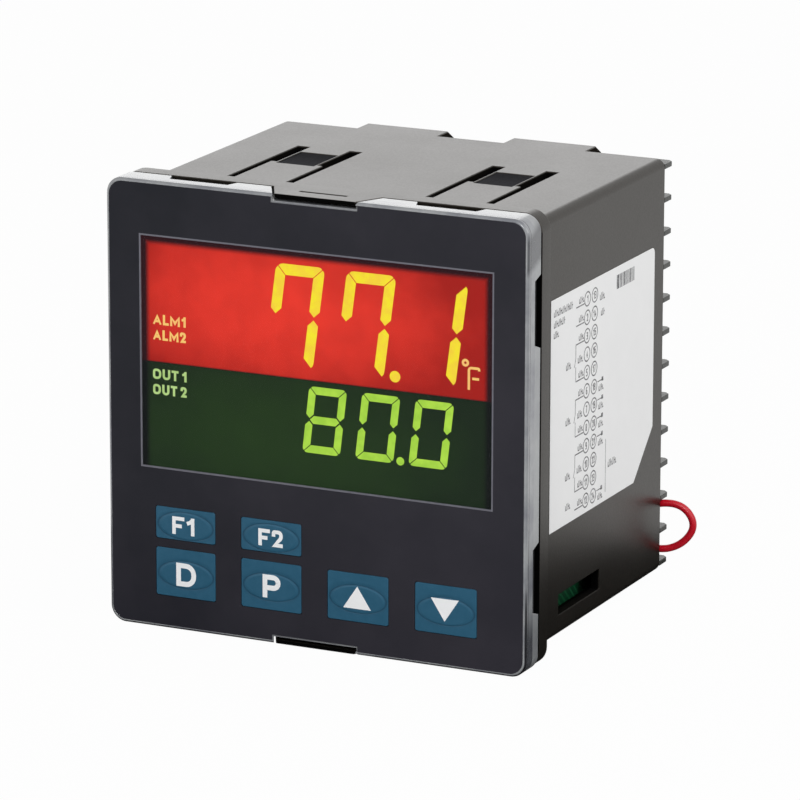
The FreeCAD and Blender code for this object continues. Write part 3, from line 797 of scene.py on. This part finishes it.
def lit_field(name, low, high, bright, deep, dark, centre):
    """A glowing field: full about its centre, deeper outward, and dark in a soft rim. The rim is
    narrow where the other field follows."""
    finish = Finish(name)
    x, _, z = finish.place()
    sides = (x - field_left).least(field_right - x)
    above, below = high - z, z - low
    outer, inner = (above, below) if low == red_low else (below, above)
    inside = sides.least(outer).eased(-0.0001, outer_fade) * inner.eased(0.0, inner_fade)
    across = ((x - centre[0]) / glow_width) ** 2.0
    up = ((z - centre[1]) / glow_height) ** 2.0
    blotch = finish.grain(110, 4.0, 0.65).eased(0.3, 0.7)
    fade = (across * 0.70 + up * 0.35 + blotch * 0.24).least(1.0)
    glow = finish.tint(inside, dark, finish.tint(fade, bright, deep))
    finish.surface({
        "Base Color": (0.004, 0.004, 0.004), "Roughness": 0.5, "Specular IOR Level": 0.0,
        "Emission Color": glow, "Emission Strength": 1.0})
    return finish


dress(lit_field("lit_red", red_low, red_high, (0.90, 0.048, 0.030), (0.40, 0.017, 0.013),
                (0.030, 0.010, 0.013), (-0.008, 0.024)), "red_field")
dress(lit_field("lit_green", green_low, green_high, (0.020, 0.046, 0.014), (0.013, 0.025, 0.013),
                (0.008, 0.010, 0.010), (-0.008, -0.004)), "green_field")


def lit_ink(name, core, rim):
    """Glowing bars, with a slight unevenness of the backlight behind them."""
    finish = Finish(name)
    finish.surface({
        "Base Color": (0.02, 0.02, 0.01), "Roughness": 0.5, "Specular IOR Level": 0.0,
        "Emission Color": finish.tint(finish.grain(400, 2.0).eased(0.3, 0.7), core, rim),
        "Emission Strength": 1.0})
    return finish


yellow = lit_ink("lit_yellow", (1.0, 0.84, 0.03), (0.98, 0.68, 0.05))
lime = lit_ink("lit_lime", (0.46, 0.78, 0.075), (0.36, 0.66, 0.060))
amber = lit_ink("lit_amber", (1.0, 0.65, 0.18), (1.0, 0.55, 0.18))
pale_lime = lit_ink("lit_pale_lime", (0.50, 0.72, 0.27), (0.41, 0.61, 0.21))
dress(yellow, "upper_digits")
dress(lime, "lower_digits")


def on_front(flat):
    """A point's first value runs along x, the second up along z, the third out of the front."""
    return flat[:, [0, 2, 1]] * [1, -1, 1]


lit_top = lit_depth + 0.00005
status_height, status_line, status_gap = 0.0022, 0.0005, 0.00034
status_words = (
    ("status_alm1", "ALM1", amber, "lit_yellow", (-0.03795, 0.01720), 0.00765),
    ("status_alm2", "ALM2", amber, "lit_yellow", (-0.03795, 0.01390), 0.00765),
    ("status_out1", "OUT 1", pale_lime, "lit_lime", (-0.03805, 0.00550), 0.00785),
    ("status_out2", "OUT 2", pale_lime, "lit_lime", (-0.03805, 0.00220), 0.00785),
)
for name, text, finish, slot, (left, bottom), width in status_words:
    bars = word(text, left, bottom, width, status_height, status_line, status_gap,
                lit_depth, lit_top)
    fit(shown(name, marks_mesh(name, bars, on_front)), finish, slot, "housing")

# The unit sign: a small ring, and an F whose upper corner is round and whose middle bar is apart.
unit_left, unit_right, unit_low, unit_high = 0.03432, 0.03660, 0.01128, 0.01588
unit_line = 0.00052
hook_drop = 0.00050
degree_place, degree_radius = np.array([0.03354, 0.01686]), 0.00055
turn = np.linspace(0, 2 * math.pi, 25)
degree_ring = degree_place + degree_radius * np.column_stack([np.cos(turn), np.sin(turn)])
unit_size = np.array([unit_right - unit_left, unit_high - unit_low])
hook = (1, 1 - hook_drop / unit_size[1])
stem_line = rounded([(0, 0), (0, 1, 0.12), (1, 1, 0.1), hook], *unit_size)
middle_line = np.array([[0.34, 0.52], [1, 0.52]]) * unit_size
unit_corner = np.array([unit_left, unit_low])
bars = [ribbon(line, unit_line, lit_depth, lit_top)
        for line in (degree_ring, stem_line + unit_corner, middle_line + unit_corner)]
fit(shown("unit_sign", marks_mesh("unit_sign", bars, on_front)), amber, "lit_yellow", "housing")


# ---- window and its printed line
# A clear plastic window with a satin face and a stepped edge, held by the bezel and flush with
# the film. A thin pale line is printed round it.

clear = Finish("clear_window")
clear.surface({
    "Base Color": (0.015, 0.016, 0.018),
    "Roughness": clear.grain(120, 3.0) * 0.08 + 0.20,
    "Alpha": clear.grain(60, 2.0) * 0.02 + 0.04,
    "Normal": clear.relief(clear.grain(1400, 2.0), 0.00001, 0.3),
})
dress(clear, "window_lens")
dress(plain("line_print", (0.10, 0.10, 0.125), (0.17, 0.17, 0.20), 0.4), "window_line")


# ---- front film
# Blue-black polyester film with a satin grain, glued into the bezel's recess. It is cut out
# round the window and the keys.

film = Finish("front_film")
film_x, _, film_z = film.place()
# Painted light: the film's tone rises towards the right and the bottom and is darkest at the top
# left.
fade = film_x.eased(-0.048, 0.020) * 0.55 + film_z.eased(-0.048, 0.048, 0.45, 0.0)
cloud = film.grain(38, 4.0, 0.6)
satin = film.grain(3200, 2.0, 0.5)
film_tone = cloud.eased(0.3, 0.7) * 0.3 + fade * 0.7
film.surface({
    "Base Color": film.tint(film_tone, (0.0058, 0.0070, 0.0112), (0.0335, 0.0315, 0.0410)),
    "Roughness": cloud * 0.08 + satin * 0.06 + 0.34,
    "Normal": film.relief(satin, 0.00002, 0.35),
    "Specular IOR Level": 0.17,
})
dress(film, "front_film")


# ---- keys
# Six blue keys with white marks. Each is a soft cap with a raised oval over its snap dome,
# a flange that keeps it behind the bezel, and a round stem that presses the dome.

key_face = -0.01101
key_corner = 0.0005
key_edge = 0.00007
dome_rise = 0.00008
dome_groove = 0.00004
dome_slope = 0.13
groove_at, groove_width, groove_shade = 1.02, 0.018, 0.035
dome_half = (0.00635, 0.00295)
dome_drop = 0.0003
wall_back = -0.00875
key_flange = 0.0008
stem_radius = 0.0015
stem_end = -0.00472
key_width = 0.0139
keys = {
    "key_f1": (-0.030, -0.02495, 0.0069),
    "key_f2": (-0.010, -0.02495, 0.0069),
    "key_d": (-0.030, -0.0356, 0.0104),
    "key_p": (-0.010, -0.0356, 0.0104),
    "key_up": (0.010, -0.0356, 0.0104),
    "key_down": (0.030, -0.0356, 0.0104),
}
key_turn = np.linspace(0, 2 * math.pi, 128, endpoint=False)


def outline(half_w, half_h, radius):
    """A rectangle with round corners. Each side follows the turn's sine or cosine, held at its
    end, and the corner's normal swings a quarter while both are held."""
    c, n = np.cos(key_turn), np.sin(key_turn)
    spread = 1.6                   # how much longer than its half size a side's wave would be
    held = math.asin(1 / spread)
    quarter = np.arctan2(np.abs(n), np.abs(c))
    swing = np.clip((quarter - held) / (math.pi / 2 - 2 * held), 0, 1) * math.pi / 2
    x = (half_w - radius) * np.minimum(1, spread * np.abs(c)) + radius * np.cos(swing)
    z = (half_h - radius) * np.minimum(1, spread * np.abs(n)) + radius * np.sin(swing)
    return np.column_stack([np.sign(c) * x, np.sign(n) * z])


def oval(share, half, drop=0.0):
    """An ellipse of that share of the half sizes, set lower by the drop."""
    return np.column_stack([share * half[0] * np.cos(key_turn),
                            share * half[1] * np.sin(key_turn) - drop])


def key_mesh(name, cx, cz, height):
    """Rings from the middle of the face outward. Ovals first, which rise smoothly inside the
    rim of the dome and dip in a fine groove round it; then rings that blend into the cap's
    outline; then back along its side, out round the flange, and in to the stem and its end."""
    w, h = key_width / 2, height / 2
    half = (dome_half[0], min(dome_half[1], h * 0.86))
    shares = np.array([0.05, 0.3, 0.55, 0.72, 0.8, 0.85, 0.88, 0.9,
                       0.92, 0.94, 0.96, 0.98, 1.0, 1.02, 1.04, 1.06])
    ramp = np.clip((1.0 - shares) / dome_slope, 0, 1)
    dip = np.exp(-((shares - groove_at) / groove_width) ** 2)
    rise = dome_rise * ramp * ramp * (3 - 2 * ramp) - dome_groove * dip
    rows = [(oval(share, half, dome_drop), key_face - up) for share, up in zip(shares, rise)]
    rim = rows[-1][0]
    edge = outline(w - key_edge, h - key_edge, 0.9 * key_corner)
    rows += [(rim + (edge - rim) * part, key_face) for part in (0.3, 0.6, 0.85, 1.0)]
    side = outline(w, h, key_corner)
    rows += [(side, key_face + key_edge), (side, wall_back)]
    wide = outline(w + key_flange, h + key_flange, key_corner)
    rows += [(wide, wall_back), (wide, wall_back + key_flange)]
    stem = oval(1.0, (stem_radius, stem_radius))
    rows += [(stem, wall_back + key_flange), (stem, stem_end)]
    rings = np.array([np.column_stack([cx + flat[:, 0], np.full(len(flat), y), cz + flat[:, 1]])
                      for flat, y in rows])
    poles = [[cx, rings[0, 0, 1], cz - dome_drop], [cx, stem_end, cz]]
    points = np.concatenate([rings.reshape(-1, 3), poles])
    count = len(key_turn)
    last = (len(rows) - 1) * count
    front, back = len(points) - 2, len(points) - 1
    faces = grid_faces(len(rows), count).tolist()
    faces += [[front, (i + 1) % count, i] for i in range(count)]
    faces += [[back, last + i, last + (i + 1) % count] for i in range(count)]
    mesh = surface_mesh(name, points, faces)
    mesh.set_sharp_from_angle(angle=math.radians(40))
    place = np.empty(3 * len(mesh.vertices))
    mesh.vertices.foreach_get("co", place)
    x, y, z = place.reshape(-1, 3).T
    # Painted shade: a fine dark ring on the face just outside the dome's rim, where its groove
    # lies, kept in the attribute groove.
    share = np.hypot((x - cx) / half[0], (z - cz + dome_drop) / half[1])
    dark = np.exp(-((share - groove_at) / groove_shade) ** 2)
    dark = np.where(y < key_face + 0.0001, dark, 0.0)
    groove_shade_mark = mesh.attributes.new("groove", "FLOAT", "POINT")
    groove_shade_mark.data.foreach_set("value", dark.astype(np.float32))
    return mesh


key_film = Finish("key_film")
fleck = key_film.grain(600, 4.0, 0.6)
groove = key_film.node("ShaderNodeAttribute", {"attribute_name": "groove"}, out="Fac")
key_blue = key_film.tint(fleck, (0.014, 0.086, 0.152), (0.028, 0.118, 0.198))
# Painted shade: the groove attribute darkens the blue in the ring round each dome.
key_film.surface({
    "Base Color": key_film.tint(groove * 0.55, key_blue, (0.002, 0.025, 0.055)),
    "Roughness": fleck * 0.10 + 0.34,
    "Normal": key_film.relief(key_film.grain(3200, 2.0), 0.00002, 0.3),
    "Specular IOR Level": 0.3,
})
white_mark = plain("white_mark", (0.90, 0.91, 0.92), (0.94, 0.95, 0.96), 0.4)
mark_low, mark_top = 0.01100, 0.01112
mark_gap = 0.00045
marks = {
    "key_f1": ("F1", (-0.03305, -0.02713), (0.00520, 0.00383), 0.00080),
    "key_f2": ("F2", (-0.01290, -0.02705), (0.00565, 0.00365), 0.00080),
    "key_d": ("D", (-0.03220, -0.03835), (0.00465, 0.00505), 0.00108),
    "key_p": ("P", (-0.01195, -0.03820), (0.00414, 0.00500), 0.00108),
}
arrows = {
    "key_up": ((0.00670, -0.03795), (0.01305, -0.03795), (0.00990, -0.03315)),
    "key_down": ((0.02670, -0.03325), (0.03300, -0.03320), (0.02980, -0.03805)),
}
for node, (cx, cz, height) in keys.items():
    body = node + "_cap"
    cap = shown(node + "_soft", key_mesh(node + "_soft", cx, cz, height))
    fit(cap, key_film, "key_blue", body, node)
    if node in marks:
        text, (left, bottom), (width, tall), line = marks[node]
        bars = word(text, left, bottom, width, tall, line, mark_gap, mark_low, mark_top)
    else:
        corners = np.array(arrows[node])
        solid = np.concatenate([np.column_stack([corners, np.full(3, level)])
                                for level in (mark_top, mark_low)])
        bars = [(solid, [[0, 1, 2], [5, 4, 3], [0, 3, 4, 1], [1, 4, 5, 2], [2, 5, 3, 0]])]
    mark = shown(node + "_mark", marks_mesh(node + "_mark", bars, on_front))
    fit(mark, white_mark, "key_blue", body)


# ---- floor, light and camera
# A plain pale floor and backdrop. A broad lamp behind gives the top its sheen, lamps at the
# right and left of the front light the face, and two at the right the wall with the label.

floor_half = 6.0
shade_edge = (0.0112, 0.0152)      # squared distances from the object's middle
floor_z = cad_box[0][2] - 0.0001
floor_mesh = bpy.data.meshes.new("floor")
floor_mesh.from_pydata([(x, y, floor_z) for x, y in (
    (-floor_half, -floor_half), (floor_half, -floor_half),
    (floor_half, floor_half), (-floor_half, floor_half))], [], [(0, 1, 2, 3)])
floor = shown("floor", floor_mesh)

# Seen directly, the floor is white with the object's shadow. Mirrored in the object, it is dark
# up to about 11 centimetres from the middle, as shaded ground is, and white beyond 12.
floor_paint = Finish("floor_paint")
floor_x, floor_y, _ = floor_paint.place()
away = (floor_x * floor_x + floor_y * floor_y).eased(*shade_edge)
mirrored = floor_paint.node("ShaderNodeLightPath", out="Is Glossy Ray")
seen = floor_paint.node("ShaderNodeLightPath", out="Is Camera Ray")
seen = seen.most(floor_paint.node("ShaderNodeLightPath", out="Is Transmission Ray"))
floor_paint.surface({
    "Base Color": floor_paint.tint(mirrored, (0.55, 0.55, 0.55), (0.03, 0.03, 0.03)),
    "Roughness": 0.9,
    "Specular IOR Level": 0.0,
})
white = floor_paint.node("ShaderNodeEmission", values={"Color": (1, 1, 1), "Strength": 1.0})
painted = Value(floor_paint, floor_paint.shader.outputs[0])
both = floor_paint.node("ShaderNodeMixShader", values={
    0: seen.most(mirrored * away) * 0.975, 1: painted, 2: white})
floor_paint.links.new(both.socket, floor_paint.nodes["Material Output"].inputs[0])
floor_paint.on(floor)

world = bpy.data.worlds.new("studio")
bpy.context.scene.world = world
world.use_nodes = True
sky = world.node_tree.nodes["Background"]
path = world.node_tree.nodes.new("ShaderNodeLightPath")
strength = world.node_tree.nodes.new("ShaderNodeMapRange")
seen = path.outputs["Is Camera Ray"]
for ray in ("Is Glossy Ray", "Is Transmission Ray"):
    most = world.node_tree.nodes.new("ShaderNodeMath")
    most.operation = "MAXIMUM"
    world.node_tree.links.new(seen, most.inputs[0])
    world.node_tree.links.new(path.outputs[ray], most.inputs[1])
    seen = most.outputs[0]
world.node_tree.links.new(seen, strength.inputs["Value"])
strength.inputs["To Min"].default_value = 0.36
strength.inputs["To Max"].default_value = 0.98
world.node_tree.links.new(strength.outputs[0], sky.inputs["Strength"])
sky.inputs["Color"].default_value = (1, 1, 1, 1)


def lamp(name, place, aim, size, power):
    """A square soft lamp at a place, turned to face its aim."""
    light = bpy.data.lights.new(name, "AREA")
    light.size = size
    light.energy = power
    holder = shown(name, light)
    holder.visible_camera = False
    turned = (Vector(aim) - Vector(place)).to_track_quat("-Z", "Y")
    holder.matrix_world = Matrix.Translation(place) @ turned.to_matrix().to_4x4()


lamp("behind", (-0.45, 0.95, 0.36), (0, 0.03, 0.04), 0.55, 0.8)
lamp("front_right", (0.55, -1.15, 0.90), (0, 0, 0), 0.6, 11.0)
lamp("front_left", (-0.75, -1.05, 0.55), (0, 0, 0), 0.7, 1.5)
lamp("right", (1.20, -0.30, 0.55), (0.04, 0.03, 0), 0.6, 4.2)
lamp("upper_right", (0.30, 0.05, 0.34), (0.045, 0.03, 0.02), 0.22, 0.45)

camera_place = (0.4981, -1.0202, 0.3012)
azimuth = math.radians(25.37)
elevation = math.radians(14.72)
roll = math.radians(0.116)
camera_data = bpy.data.cameras.new("camera")
camera_data.sensor_width = 36.0
camera_data.lens = 254.97
camera_data.clip_end = 20.0
camera = shown("camera", camera_data)
camera.matrix_world = (Matrix.Translation(camera_place)
                       @ Matrix.Rotation(azimuth, 4, "Z")
                       @ Matrix.Rotation(math.pi / 2 - elevation, 4, "X")
                       @ Matrix.Rotation(roll, 4, "Z"))
bpy.context.scene.camera = camera
bpy.context.scene.view_settings.view_transform = "Standard"
